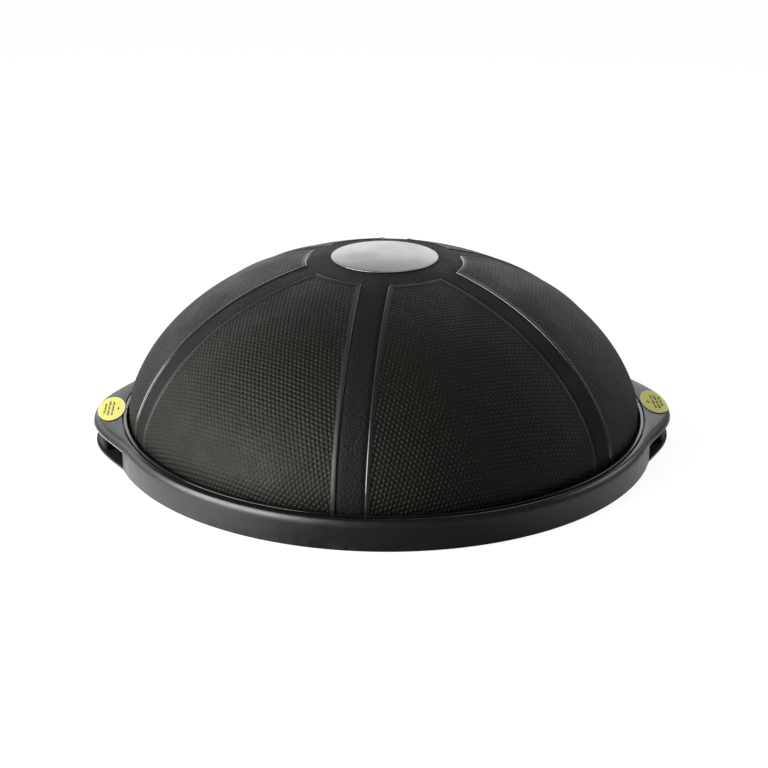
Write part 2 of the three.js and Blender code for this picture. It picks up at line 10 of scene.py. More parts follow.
import bmesh
import bpy
import numpy as np
from mathutils import Matrix, Quaternion, Vector


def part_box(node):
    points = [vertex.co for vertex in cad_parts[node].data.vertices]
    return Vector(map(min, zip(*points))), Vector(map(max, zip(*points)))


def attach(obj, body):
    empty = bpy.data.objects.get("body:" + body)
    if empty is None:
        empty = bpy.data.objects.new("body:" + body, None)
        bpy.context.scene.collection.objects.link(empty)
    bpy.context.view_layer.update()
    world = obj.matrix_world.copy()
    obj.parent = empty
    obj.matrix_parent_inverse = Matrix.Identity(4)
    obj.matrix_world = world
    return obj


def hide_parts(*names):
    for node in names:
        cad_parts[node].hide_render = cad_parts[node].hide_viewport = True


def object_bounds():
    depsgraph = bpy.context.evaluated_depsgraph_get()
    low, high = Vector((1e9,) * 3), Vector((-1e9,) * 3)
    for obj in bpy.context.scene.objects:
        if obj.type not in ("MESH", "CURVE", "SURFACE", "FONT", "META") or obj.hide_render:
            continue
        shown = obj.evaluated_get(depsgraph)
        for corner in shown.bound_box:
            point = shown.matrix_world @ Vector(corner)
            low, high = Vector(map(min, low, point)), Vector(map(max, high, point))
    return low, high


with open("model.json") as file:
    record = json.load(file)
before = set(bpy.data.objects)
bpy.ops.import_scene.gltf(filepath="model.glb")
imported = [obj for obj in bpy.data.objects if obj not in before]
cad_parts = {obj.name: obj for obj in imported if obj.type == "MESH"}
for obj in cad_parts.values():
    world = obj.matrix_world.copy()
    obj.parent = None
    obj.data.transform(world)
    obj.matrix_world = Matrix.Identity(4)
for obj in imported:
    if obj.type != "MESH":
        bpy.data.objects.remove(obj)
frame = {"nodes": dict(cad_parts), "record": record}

CAD_LOW, CAD_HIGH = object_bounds()
MM = 0.001
TAU = 2 * math.pi

# ---- Sizes, repeated from the CAD source or read from the frame ----

ROUND_COLUMNS = 360  # columns round each large turned piece
SMALL_COLUMNS = 48  # columns round the screws, feet and valve

# Dome
DOME_HALF_WIDTH = 290.4 * MM
DOME_HALF_HEIGHT = 207.2 * MM
DOME_CENTRE_Z = 7.6 * MM
DOME_BLEND_Z = 60 * MM  # an ellipsoid above this, and a wall that turns upright below it
DOME_UPRIGHT_DROP = 20 * MM
DOME_THICKNESS = 5 * MM
FLANGE_TOP_Z = 27.3 * MM
FLANGE_BOTTOM_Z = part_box("dome_membrane")[0].z
FLANGE_OUTER_RADIUS = 291.1 * MM
FLANGE_INNER_RADIUS = 272 * MM
HUB_RADIUS = 86 * MM
RIB_HALF_WIDTH = 14.25 * MM
FIRST_RIB_ANGLE = math.radians(-99.6)
PANELS = 6
PANEL_RAISE = 1.2 * MM  # how far a panel's border stands above the hub and the ribs
GROOVE_DEPTH = 0.9 * MM  # of the narrow groove at the foot of a panel's edge
FIELD_SINK = 0.95 * MM  # how far a panel's textured field lies below its border
BADGE_RADIUS = 58.8 * MM

# Platform
RIM_RADIUS = 300.5 * MM
SHOULDER_WIDTH = 6 * MM
SHOULDER_HEIGHT = 9 * MM
RIM_TOP_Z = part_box("platform_upper_shell")[1].z
RIM_BOTTOM_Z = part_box("platform_upper_shell")[0].z
LOBE_REACH = CAD_HIGH.x - RIM_RADIUS
LOBE_HALF_ANGLE = math.radians(22)
LOBE_FULLNESS = 1.7
LOBE_PLATE_Z = 24.5 * MM
WALL = 2.8 * MM
DECK_BOTTOM_Z = 18 * MM
DECK_TOP_Z = 20.7 * MM
POCKET_RADIUS = 291.7 * MM
POCKET_WALL = 2.5 * MM
MOUTH_ANGLE = math.radians(17.8)  # from a lobe's tip to where its side wall starts
WALL_END_ROUND = 6 * MM  # how far the side wall curves inwards beside a hand-hold
WING_END_ANGLE = math.radians(19.1)  # from a lobe's tip to where the base's wing ends
WING_INSET = 2.5 * MM
LEDGE_WIDTH = 0.9 * MM  # of the fine lip along a lobe's lower edge
LEDGE_END_ANGLE = math.radians(20.5)
LEDGE_FADE_ANGLE = math.radians(3)
TUNNEL_FLOOR_Z = 4.3 * MM
TUNNEL_INNER_X = 284 * MM
TUNNEL_OUTER_X = 303 * MM
PILLAR_HALF_LENGTH = 46 * MM
PILLAR_INSET = 5 * MM
BASE_BOTTOM_Z, BASE_TOP_Z = 1.5 * MM, 4 * MM
BASE_RADIUS = RIM_RADIUS - WALL - 0.3 * MM

# Clamp ring
RING_INNER_RADIUS = 285 * MM
RING_OUTER_RADIUS = 290.6 * MM
RING_LEAN = 1.8 * MM  # how far the ring's inner face leans away from the dome at its top
RING_FOOT_RADIUS = 291.3 * MM
RING_FOOT_TOP_Z = 30.5 * MM
RING_BOTTOM_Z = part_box("clamp_ring_front")[0].z
RING_SPLIT = 2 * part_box("clamp_ring_rear")[0].y


# ---- Meshes ----

def weld(mesh):
    """Joins the vertices of a bmesh that share a place, and turns its faces outwards."""
    bmesh.ops.remove_doubles(mesh, verts=mesh.verts, dist=0.002 * MM)
    bmesh.ops.dissolve_degenerate(mesh, edges=mesh.edges, dist=0.0001 * MM)
    bmesh.ops.recalc_face_normals(mesh, faces=mesh.faces)


def new_object(name, data):
    made = bpy.data.objects.new(name, data)
    bpy.context.scene.collection.objects.link(made)
    return made


def make_piece(name, shape, materials, replaces=(), body="root", marks=None):
    """A piece from a (vertices, faces) shape that may repeat places: they are joined here.
    marks gives each face its material's number."""
    vertices, faces = shape
    mesh = bpy.data.meshes.new(name)
    mesh.from_pydata([tuple(v) for v in vertices], [], faces)
    for material in materials:
        mesh.materials.append(material)
    if marks is not None:
        mesh.polygons.foreach_set("material_index", marks)
    clean = bmesh.new()
    clean.from_mesh(mesh)
    weld(clean)
    clean.to_mesh(mesh)
    clean.free()
    mesh.shade_smooth()
    piece = new_object(name, mesh)
    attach(piece, body)
    if replaces:
        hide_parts(*replaces)
    return piece


def sharpen(piece, degrees=35):
    """Keeps the edges crisp where two faces meet at more than this angle."""
    piece.data.set_sharp_from_angle(angle=math.radians(degrees))
    return piece


def rounded(corners, steps=4, closed=False):
    """A polyline through (x, y, radius) corners, each turned into an arc of that radius."""
    points = []
    count = len(corners)
    for i, (x, y, radius) in enumerate(corners):
        here = np.array((x, y), float)
        is_end = not closed and i in (0, count - 1)
        if radius == 0 or is_end:
            points.append(here)
            continue
        before = np.array(corners[i - 1][:2], float) - here
        after = np.array(corners[(i + 1) % count][:2], float) - here
        before /= np.linalg.norm(before)
        after /= np.linalg.norm(after)
        half = math.acos(np.clip(before @ after, -1, 1)) / 2
        middle = (before + after) / np.linalg.norm(before + after)
        centre = here + middle * radius / math.sin(half)
        start = here + before * radius / math.tan(half) - centre
        end = here + after * radius / math.tan(half) - centre
        turn = math.pi - 2 * half
        for step in range(steps + 1):
            share = step / steps
            weights = math.sin((1 - share) * turn), math.sin(share * turn)
            points.append(centre + (start * weights[0] + end * weights[1]) / math.sin(turn))
    return points


def turned(profile, columns=ROUND_COLUMNS, start=0.0, sweep=TAU):
    """A (radius, z) profile turned about the Z axis: vertices and faces. A part turn gets its
    two ends closed, so its profile is a closed outline."""
    whole = abs(sweep - TAU) < 1e-9
    rows = len(profile)
    angles = [start + sweep * i / columns for i in range(columns if whole else columns + 1)]
    vertices = [(r * math.cos(a), r * math.sin(a), z) for a in angles for r, z in profile]
    faces = []
    for column in range(columns):
        beside = (column + 1) % len(angles)
        for row in range(rows - 1 if whole else rows):
            above = (row + 1) % rows
            faces.append((column * rows + row, beside * rows + row,
                          beside * rows + above, column * rows + above))
    if not whole:
        faces.append(tuple(reversed(range(rows))))
        faces.append(tuple(columns * rows + row for row in range(rows)))
    return vertices, faces


def placed(shape, matrix):
    vertices, faces = shape
    return [matrix @ Vector(v) for v in vertices], faces


def together(shapes):
    """Several (vertices, faces) shapes as one."""
    vertices, faces = [], []
    for more_vertices, more_faces in shapes:
        first = len(vertices)
        vertices += [tuple(v) for v in more_vertices]
        faces += [tuple(first + i for i in face) for face in more_faces]
    return vertices, faces


def band(first, second, count):
    """Faces between two closed rows of count vertices, given the number each row starts at."""
    return [(first + i, first + (i + 1) % count, second + (i + 1) % count, second + i)
            for i in range(count)]


def extruded(outline, low_z, high_z, edge=0.0):
    """A plan outline, listed anticlockwise, as an upright solid with rounded top and bottom
    edges."""
    outline = np.array(outline, float)
    before, after = np.roll(outline, 1, axis=0), np.roll(outline, -1, axis=0)
    along = after - before
    along /= np.linalg.norm(along, axis=1)[:, None]
    outwards = np.stack([along[:, 1], -along[:, 0]], axis=1)
    steps = 3
    turns = [math.pi / 2 * i / steps for i in range(steps + 1)] if edge else [math.pi / 2]
    layers = [(edge * (1 - math.sin(t)), low_z + edge * (1 - math.cos(t))) for t in turns]
    layers += [(inset, high_z - (z - low_z)) for inset, z in reversed(layers)]
    count, top = len(outline), len(layers) - 1
    vertices = [(x, y, z) for inset, z in layers for x, y in outline - outwards * inset]
    faces = [tuple(reversed(range(count)))]
    for layer in range(top):
        faces += band(layer * count, (layer + 1) * count, count)
    faces.append(tuple(range(top * count, (top + 1) * count)))
    return vertices, faces


def limited(share):
    return min(max(share, 0), 1)


def on_circle(radius, angle):
    return radius * math.cos(angle), radius * math.sin(angle)


def standing_at(radius, angle):
    """Matrix that moves a piece made on the Z axis to a place in plan."""
    return Matrix.Translation((*on_circle(radius, angle), 0))


def evenly(count, start_degrees):
    return [math.radians(start_degrees + 360 * i / count) for i in range(count)]


def numbered(prefix, index):
    return f"{prefix}_{index + 1:02d}"


# ---- Materials ----

class Nodes:
    """Adds nodes to a node tree. Sockets are fed with values or with other sockets."""

    def __init__(self, tree):
        self.tree = tree

    def node(self, kind, **settings):
        made = self.tree.nodes.new(kind)
        for key, value in settings.items():
            setattr(made, key, value)
        return made

    def feed(self, socket, value):
        if isinstance(value, bpy.types.NodeSocket):
            self.tree.links.new(value, socket)
        else:
            socket.default_value = value

    def made(self, kind, *values, **settings):
        """The first output of a new node whose first inputs are fed with the values."""
        node = self.node(kind, **settings)
        for socket, value in zip(node.inputs, values):
            self.feed(socket, value)
        return node.outputs[0]

    def axes(self, places):
        """The X, Y and Z of a place or direction."""
        split = self.node("ShaderNodeSeparateXYZ")
        self.feed(split.inputs[0], places)
        return split.outputs

    def math(self, operation, a, b=0.0):
        return self.made("ShaderNodeMath", a, b, operation=operation)

    def spread(self, value, low_in, high_in, low_out=0.0, high_out=1.0):
        return self.made("ShaderNodeMapRange", value, low_in, high_in, low_out, high_out,
                         interpolation_type="SMOOTHSTEP")


class Look(Nodes):
    """A node material built round one Principled shader."""

    def __init__(self, name, **constants):
        self.material = bpy.data.materials.new(name)
        self.material.use_nodes = True
        super().__init__(self.material.node_tree)
        self.shader = self.tree.nodes["Principled BSDF"]
        self.places = self.node("ShaderNodeTexCoord").outputs["Object"]
        for socket, value in constants.items():
            self.shader.inputs[socket.replace("_", " ")].default_value = value

    def noise(self, pitch, detail=2.0, places=None):
        """Noise from 0 to 1 with features about pitch metres apart."""
        made = self.node("ShaderNodeTexNoise")
        self.feed(made.inputs["Vector"], places or self.places)
        made.inputs["Scale"].default_value = 1 / pitch
        made.inputs["Detail"].default_value = detail
        return made.outputs["Fac"]

    def blend(self, share, first, second):
        """A colour between two colours."""
        made = self.node("ShaderNodeMix", data_type="RGBA")
        self.feed(made.inputs["Factor"], share)
        for label, colour in (("A", first), ("B", second)):
            socket = [s for s in made.inputs if s.name == label and s.type == "RGBA"][0]
            if not isinstance(colour, bpy.types.NodeSocket):
                colour = (*colour, 1.0)
            self.feed(socket, colour)
        return [s for s in made.outputs if s.type == "RGBA"][0]

    def bump(self, height, distance, onto=None):
        made = self.node("ShaderNodeBump")
        self.feed(made.inputs["Height"], height)
        made.inputs["Distance"].default_value = distance
        made.inputs["Strength"].default_value = 1.0
        if onto is not None:
            self.feed(made.inputs["Normal"], onto)
        return made.outputs["Normal"]

    def finish(self, colour, roughness, normal):
        self.feed(self.shader.inputs["Base Color"], colour)
        self.feed(self.shader.inputs["Roughness"], roughness)
        self.feed(self.shader.inputs["Normal"], normal)
        return self.material


FIELD_DOT_PITCH = 5.15 * MM
FIELD_DOT_HEIGHT = 0.75 * MM


def toned(colour, factor):
    return tuple(c * factor for c in colour)


def rubber_look(name, dark, light, smooth, coarse, grain_pitch, grain_height, field_pitch=0.0,
                **constants):
    """Moulded rubber with a fine grain, cloudy colour and, where field_pitch is given, raised
    dots on a honeycomb lattice laid out by the mesh's UV map, with painted highlights on their tops
    and painted shade between them."""
    look = Look(name, **constants)
    clouds = look.noise(45 * MM, 3)
    grain = look.noise(grain_pitch, 2)
    specks = look.spread(look.noise(2.2 * MM, 1), 0.66, 0.74, 0, 0.35)
    colour = look.blend(clouds, dark, light)
    mottle = look.spread(grain, 0.35, 0.65)
    colour = look.blend(look.math("MULTIPLY", mottle, 0.5), colour, toned(dark, 0.5))
    colour = look.blend(specks, colour, toned(light, 1.7))
    roughness = look.spread(clouds, 0.3, 0.7, smooth, coarse)
    normal = look.bump(grain, grain_height)
    if field_pitch:
        uv = look.node("ShaderNodeUVMap", uv_map="field").outputs[0]
        waves = []
        wave_number = 4 * math.pi / (math.sqrt(3) * field_pitch)
        for turn in (0, TAU / 3, 2 * TAU / 3):
            dot = look.node("ShaderNodeVectorMath", operation="DOT_PRODUCT")
            look.feed(dot.inputs[0], uv)
            direction = (math.sin(turn), math.cos(turn), 0)
            dot.inputs[1].default_value = [d * wave_number for d in direction]
            waves.append(look.math("COSINE", dot.outputs["Value"]))
        total = look.math("ADD", look.math("ADD", waves[0], waves[1]), waves[2])
        uneven = look.spread(look.noise(11 * MM, 2), 0.3, 0.7, 0.6, 1.0)
        dots = look.math("MULTIPLY", look.spread(total, -1.3, 2.4), uneven)
        normal = look.bump(dots, FIELD_DOT_HEIGHT, normal)
        # Painted highlight on the dots' tops and painted shade in the hollows between them; the
        # tops are also a little smoother.
        tops = look.spread(dots, 0.35, 1.0)
        colour = look.blend(look.spread(dots, 0.0, 0.5), toned(dark, 0.8), colour)
        colour = look.blend(tops, colour, toned(light, 1.2))
        roughness = look.math("SUBTRACT", roughness, look.math("MULTIPLY", tops, 0.10))
    return look.finish(colour, roughness, normal)


panel_rubber = rubber_look("dome_panel_field", (0.0030, 0.0031, 0.0023), (0.0047, 0.0048, 0.0037),
                           0.52, 0.62, 1.9 * MM, 0.45 * MM, FIELD_DOT_PITCH,
                           Specular_IOR_Level=0.2, Specular_Tint=(1, 1, 0.9, 1))
# The border and the edge are the field's rubber painted about twice as light: painted light for
# what their slope and rounding catch.
border_rubber = rubber_look("dome_panel_border", (0.007, 0.007, 0.0062), (0.011, 0.011, 0.010),
                            0.46, 0.54, 0.9 * MM, 0.02 * MM, Specular_IOR_Level=0.32)
edge_rubber = rubber_look("dome_panel_edge", (0.006, 0.006, 0.0055), (0.010, 0.010, 0.0095),
                          0.18, 0.24, 0.9 * MM, 0.01 * MM, Specular_IOR_Level=0.85)
rib_rubber = rubber_look("dome_rib_and_hub", (0.0042, 0.0043, 0.0036), (0.0066, 0.0067, 0.0058),
                         0.62, 0.74, 2.2 * MM, 1.3 * MM, Specular_IOR_Level=0.15,
                         Specular_Tint=(1, 1, 0.94, 1))
inner_rubber = rubber_look("inner_rubber", (0.020, 0.019, 0.018), (0.030, 0.029, 0.027),
                           0.62, 0.75, 0.8 * MM, 0.05 * MM)
black_rubber = rubber_look("black_rubber", (0.008, 0.008, 0.008), (0.014, 0.014, 0.014),
                           0.55, 0.7, 0.6 * MM, 0.05 * MM)


def land_shade_and_gloss(look):
    """1 on the narrow land round the ring and 0 on the shoulder, the wall and the lobes. The land,
    which hands and feet don't reach, stays glossier, and it gets painted shade beside the dark
    dome."""
    x, y, _ = look.axes(look.places)
    squares = look.math("ADD", look.math("MULTIPLY", x, x), look.math("MULTIPLY", y, y))
    near = look.spread(look.math("SQRT", squares), 296.5 * MM, 299.5 * MM, 1, 0)
    off_lobes = look.spread(look.math("ABSOLUTE", x), 262 * MM, 288 * MM, 1, 0)
    return look.math("MULTIPLY", near, off_lobes)


def plastic_look(name, dark, light, smooth, coarse, land_in_painted_shade=False, **constants):
    """Moulded plastic with a fine spark-eroded grain, faint flow clouds, pale rubbed edges and
    a little dust. Beside the ring it can be glossier, with painted shade that darkens the land."""
    look = Look(name, **constants)
    clouds = look.noise(70 * MM, 3)
    grain = look.noise(0.55 * MM, 3)
    patches = look.noise(9 * MM, 4)
    edges = look.spread(look.node("ShaderNodeNewGeometry").outputs["Pointiness"], 0.52, 0.62)
    worn = look.math("MULTIPLY", edges, look.spread(patches, 0.42, 0.62))
    dust = look.spread(look.noise(3.1 * MM, 1), 0.68, 0.76, 0, 0.25)
    colour = look.blend(clouds, dark, light)
    colour = look.blend(look.math("MULTIPLY", worn, 0.5), colour, (0.045, 0.045, 0.044))
    colour = look.blend(dust, colour, (0.012, 0.012, 0.0115))
    roughness = look.spread(patches, 0.3, 0.7, smooth, coarse)
    roughness = look.math("SUBTRACT", roughness, look.math("MULTIPLY", worn, 0.06))
    if land_in_painted_shade:
        share = land_shade_and_gloss(look)
        # painted shade: the land beside the ring is darkened to near black
        colour = look.blend(share, colour, (0.0012, 0.0012, 0.0012))
        roughness = look.math("SUBTRACT", roughness, look.math("MULTIPLY", share, 0.2))
    return look.finish(colour, roughness, look.bump(grain, 0.018 * MM))


shell_plastic = plastic_look("shell_plastic", (0.0026, 0.0026, 0.0024), (0.0044, 0.0044, 0.0041),
                             0.34, 0.41, land_in_painted_shade=True)
ring_plastic = plastic_look("ring_plastic", (0.0028, 0.0028, 0.0028), (0.0048, 0.0048, 0.0048),
                            0.11, 0.16)
# Painted highlight: a pale grey on the fine lip along each lobe's lower edge, for its thin bright
# reflected line.
lip_painted_highlight = plastic_look("lip_painted_highlight", (0.16, 0.16, 0.16), (0.24, 0.24, 0.24), 0.2, 0.28)
# A shaded copy of the shell plastic: weaker, rougher reflections stand in for the shade inside the
# hand-holds and under the upper shell.
shaded_plastic = plastic_look("shaded_copy_of_shell_plastic", (0.003, 0.003, 0.003), (0.005, 0.005, 0.005),
                              0.55, 0.65, Specular_IOR_Level=0.2)


def metal_look(name, dark, light, smooth, coarse, brush_pitch):
    """Satin metal with fine brushing along Y, cloudy tone and small scratches."""
    look = Look(name, Metallic=1.0)
    stretch = look.node("ShaderNodeMapping")
    look.feed(stretch.inputs["Vector"], look.places)
    stretch.inputs["Scale"].default_value = (1, 0.03, 1)
    brushing = look.noise(brush_pitch, 3, stretch.outputs[0])
    clouds = look.noise(28 * MM, 3)
    scratches = look.spread(look.noise(1.6 * MM, 4, stretch.outputs[0]), 0.6, 0.68, 0, 0.3)
    colour = look.blend(clouds, dark, light)
    colour = look.blend(scratches, colour, toned(dark, 0.8))
    roughness = look.math("ADD", look.spread(clouds, 0.3, 0.7, smooth, coarse),
                          look.math("MULTIPLY", brushing, 0.05))
    return look.finish(colour, roughness, look.bump(brushing, 0.006 * MM))


badge_metal = metal_look("badge_metal", (0.225, 0.225, 0.228), (0.285, 0.285, 0.288), 0.26, 0.36,
                         0.5 * MM)
screw_steel = metal_look("screw_steel", (0.42, 0.43, 0.45), (0.60, 0.61, 0.62), 0.25, 0.4,
                         0.6 * MM)


def vinyl_look(name, dark, light):
    """Printed vinyl film: a soft gloss with faint ripples and rubbed spots."""
    look = Look(name)
    clouds = look.noise(7 * MM, 3)
    rubbed = look.spread(look.noise(1.8 * MM, 3), 0.6, 0.7, 0, 0.25)
    colour = look.blend(clouds, dark, light)
    colour = look.blend(rubbed, colour, toned(dark, 0.85))
    roughness = look.spread(clouds, 0.3, 0.7, 0.54, 0.66)
    return look.finish(colour, roughness, look.bump(clouds, 0.05 * MM))


label_yellow = vinyl_look("label_yellow", (0.80, 0.75, 0.11), (0.88, 0.83, 0.17))
label_pale = vinyl_look("label_pale_border", (0.84, 0.82, 0.48), (0.90, 0.88, 0.56))
label_edge = vinyl_look("label_dark_outline", (0.16, 0.14, 0.04), (0.22, 0.19, 0.06))
label_ink = vinyl_look("label_ink", (0.20, 0.17, 0.04), (0.26, 0.22, 0.06))
label_orange = vinyl_look("label_orange", (0.66, 0.30, 0.06), (0.74, 0.36, 0.08))


# ---- The dome ----

def dome_radius(z):
    return DOME_HALF_WIDTH * math.sqrt(1 - ((z - DOME_CENTRE_Z) / DOME_HALF_HEIGHT) ** 2)


BLEND_RADIUS = dome_radius(DOME_BLEND_Z)
BLEND_SLOPE = ((DOME_HALF_WIDTH / DOME_HALF_HEIGHT) ** 2 * (DOME_BLEND_Z - DOME_CENTRE_Z)
               / BLEND_RADIUS)  # radius gained per metre of drop


def dome_wall(z):
    """Radius and unit normal (outwards, up) of the dome below DOME_BLEND_Z."""
    drop = DOME_BLEND_Z - z
    radius = BLEND_RADIUS + BLEND_SLOPE * (drop - drop * drop / (2 * DOME_UPRIGHT_DROP))
    slope = BLEND_SLOPE * (1 - drop / DOME_UPRIGHT_DROP)
    size = math.hypot(1, slope)
    return radius, (1 / size, slope / size)


def dome_upper(radius):
    """Height and unit normal (outwards, up) of the dome above DOME_BLEND_Z."""
    share = radius / DOME_HALF_WIDTH
    rise = math.sqrt(1 - share * share)
    normal = share / DOME_HALF_WIDTH, rise / DOME_HALF_HEIGHT
    size = math.hypot(*normal)
    return DOME_CENTRE_Z + DOME_HALF_HEIGHT * rise, (normal[0] / size, normal[1] / size)


def on_dome(radius, lift):
    """(radius, z) of the point that stands lift above the dome's upper part."""
    z, normal = dome_upper(radius)
    return max(radius + lift * normal[0], 0), z + lift * normal[1]


# Distances in from a panel's edge, and the surface's height there against the border's top.
EDGE_STEPS = [
    (0.0, -PANEL_RAISE - GROOVE_DEPTH),
    (0.15 * MM, -PANEL_RAISE + 0.2 * MM),
    (0.4 * MM, -0.5 * MM),
    (0.7 * MM, -0.2 * MM),
    (1.2 * MM, -0.03 * MM),
    (1.9 * MM, 0.0),
    (4.2 * MM, -0.52 * MM),
    (5.2 * MM, -0.78 * MM),
    (5.7 * MM, -FIELD_SINK + 0.03 * MM),
    (6.3 * MM, -FIELD_SINK),
]
EDGE_ROUND_STEPS = 4  # steps that belong to the edge's rounding
BORDER_STEPS = 7  # steps that belong to the smooth border, the rest to the textured field
FIELD_COLUMNS = 34  # across a panel's field
RIB_PLACES = (-1, -0.92, -0.6, -0.2, 0.2, 0.6, 0.92)  # columns across a rib, as shares of its half
UPPER_ROWS, WALL_ROWS = 56, 12  # below the panels' upper borders, and of the upright wall
FIELD_MIDDLE_RADIUS = 200 * MM  # plan radius of the middle of a panel's texture
FIELD_BEND_RADIUS = 250 * MM  # mean radius of the dome's curve over a panel


def panel_relief(distance):
    steps = EDGE_STEPS
    return float(np.interp(distance, [d for d, _ in steps], [h for _, h in steps]))


def dome_rows():
    """(plan radius, z, normal) of the dome's rows from the hub's edge to the flange."""
    plan_share = 0.98  # of a distance along the surface at the hub's edge
    edge_radii = [HUB_RADIUS + distance * plan_share for distance, _ in EDGE_STEPS]
    rows = [(radius, *dome_upper(radius)) for radius in edge_radii]
    first = math.asin(edge_radii[-1] / DOME_HALF_WIDTH)
    last = math.acos((DOME_BLEND_Z - DOME_CENTRE_Z) / DOME_HALF_HEIGHT)
    for i in range(1, UPPER_ROWS + 1):
        radius = DOME_HALF_WIDTH * math.sin(first + (last - first) * i / UPPER_ROWS)
        rows.append((radius, *dome_upper(radius)))
    for i in range(1, WALL_ROWS + 1):
        z = DOME_BLEND_Z - (DOME_BLEND_Z - FLANGE_TOP_Z) * i / WALL_ROWS
        radius, normal = dome_wall(z)
        rows.append((radius, z, normal))
    return rows


def sector_columns(radius):
    """(angle, lift) of the columns across one rib, and (angle, distance in from the panel's
    edge) of those across the panel after it, at a plan radius."""
    rib, panel = [], []
    for place in RIB_PLACES:
        lift = -PANEL_RAISE - (GROOVE_DEPTH if place == -1 else 0)
        rib.append((math.asin(place * RIB_HALF_WIDTH / radius), lift))
    steps = [distance for distance, _ in EDGE_STEPS]
    left = [math.asin((RIB_HALF_WIDTH + d) / radius) for d in steps]
    right = [TAU / PANELS - angle for angle in reversed(left)]
    panel += zip(left, steps)
    span = right[0] - left[-1]
    for i in range(1, FIELD_COLUMNS):
        angle = left[-1] + span * i / FIELD_COLUMNS
        distance = min(angle, TAU / PANELS - angle) * radius - RIB_HALF_WIDTH
        panel.append((angle, max(distance, steps[-1])))
    panel += zip(right, reversed(steps))
    return rib, panel


def field_uv(point):
    """Place of a point on its panel, in metres of surface from the panel's middle."""
    sector = math.floor((math.atan2(point[1], point[0]) - FIRST_RIB_ANGLE) / (TAU / PANELS))
    middle_angle = FIRST_RIB_ANGLE + TAU / PANELS * (sector + 0.5)
    height, normal = dome_upper(FIELD_MIDDLE_RADIUS)
    outwards = np.array((math.cos(middle_angle), math.sin(middle_angle), 0))
    across = np.array((-math.sin(middle_angle), math.cos(middle_angle), 0))
    down = outwards * normal[1] - np.array((0, 0, normal[0]))
    away = np.array(point) - (outwards * FIELD_MIDDLE_RADIUS + np.array((0, 0, height)))
    flat = np.array((away @ across, away @ down))
    chord = np.linalg.norm(away) / (2 * FIELD_BEND_RADIUS)
    arc = 2 * FIELD_BEND_RADIUS * math.asin(min(chord, 1))
    return flat / max(np.linalg.norm(flat), 1e-9) * arc


FIELD, BORDER, RIB, EDGE = range(4)  # the dome's materials


def dome_mark(row, place, per_sector):
    """The material of a face, by its row and its place in its sector."""
    first, last = len(RIB_PLACES), per_sector - 1
    if place < first or place >= last:
        return RIB
    inwards = min(place - first, last - 1 - place, row)
    if inwards < EDGE_ROUND_STEPS:
        return EDGE
    return BORDER if inwards < BORDER_STEPS else FIELD


def inner_rings():
    """(radius, z) of the flange and the inside, from the wall's foot to the apex."""
    rings = [(FLANGE_OUTER_RADIUS, FLANGE_TOP_Z), (FLANGE_OUTER_RADIUS, FLANGE_BOTTOM_Z),
             (FLANGE_INNER_RADIUS, FLANGE_BOTTOM_Z), (FLANGE_INNER_RADIUS, FLANGE_TOP_Z)]
    steps = 5
    for i in range(steps):
        z = FLANGE_TOP_Z + (DOME_BLEND_Z - FLANGE_TOP_Z) * i / steps
        rings.append((dome_wall(z)[0] - DOME_THICKNESS, z))
    for share in (0.97, 0.92, 0.84, 0.74, 0.62, 0.48, 0.32, 0.16, 0):
        rings.append(on_dome(DOME_HALF_WIDTH * share, -DOME_THICKNESS))
    return rings


def build_dome():
    rows = dome_rows()
    vertices, faces, marks = [], [], []
    for row, (radius, z, normal) in enumerate(rows):
        from_hub = EDGE_STEPS[row][0] if row < len(EDGE_STEPS) else 1.0
        rib, panel = sector_columns(radius)
        panel = [(angle, panel_relief(min(distance, from_hub))) for angle, distance in panel]
        for sector in range(PANELS):
            rib_angle = FIRST_RIB_ANGLE + TAU * sector / PANELS
            for angle, lift in rib + panel:
                place = on_circle(radius + lift * normal[0], rib_angle + angle)
                vertices.append((*place, z + lift * normal[1]))
    width = len(vertices) // len(rows)
    per_sector = width // PANELS
    last_row = (len(rows) - 1) * width
    for row in range(len(rows) - 1):
        faces += band(row * width, (row + 1) * width, width)
        marks += [dome_mark(row, i % per_sector, per_sector) for i in range(width)]

    def add_rings(first, rings):
        """Plain rings that follow the row whose first vertex has this number."""
        angles = [math.atan2(y, x) for x, y, _ in vertices[first:first + width]]
        for radius, z in rings:
            following = len(vertices)
            vertices.extend((*on_circle(radius, angle), z) for angle in angles)
            faces.extend(band(first, following, width))
            marks.extend([RIB] * width)
            first = following

    hub_radii = [85, 82, 76, 70, 64, 60, 56, 40, 24, 10, 0]
    add_rings(0, [on_dome(radius * MM, -PANEL_RAISE) for radius in hub_radii])
    add_rings(last_row, inner_rings())

    rubbers = [panel_rubber, border_rubber, rib_rubber, edge_rubber]
    dome = make_piece("dome_skin", (vertices, faces), rubbers,
                      ["dome_membrane"], marks=marks)
    layer = dome.data.uv_layers.new(name="field")
    places = [field_uv(v.co) for v in dome.data.vertices]
    layer.data.foreach_set("uv", [c for loop in dome.data.loops
                                  for c in places[loop.vertex_index]])


build_dome()


# ---- The badge ----

def build_badge():
    low = -PANEL_RAISE + 0.3 * MM
    outline = [on_dome(BADGE_RADIUS * share, 0) for share in (0, 0.2, 0.4, 0.6, 0.75, 0.88, 0.95)]
    for inset, drop in ((0.6, 0.02), (0.25, 0.12), (0, 0.45)):
        outline.append(on_dome(BADGE_RADIUS - inset * MM, -drop * MM))
    outline += [on_dome(BADGE_RADIUS * share, low) for share in (1, 0.8, 0.6, 0.4, 0.2, 0)]
    make_piece("badge_disc", turned(outline, 180), [badge_metal], ["hub_badge"])


build_badge()


# ---- The platform ----

def lobe_bump(angle):
    """How far the outline stands out from the rim, at an angle from a lobe's tip."""
    share = min(abs(angle) / LOBE_HALF_ANGLE, 1)
    return LOBE_REACH * math.cos(share * math.pi / 2) ** LOBE_FULLNESS


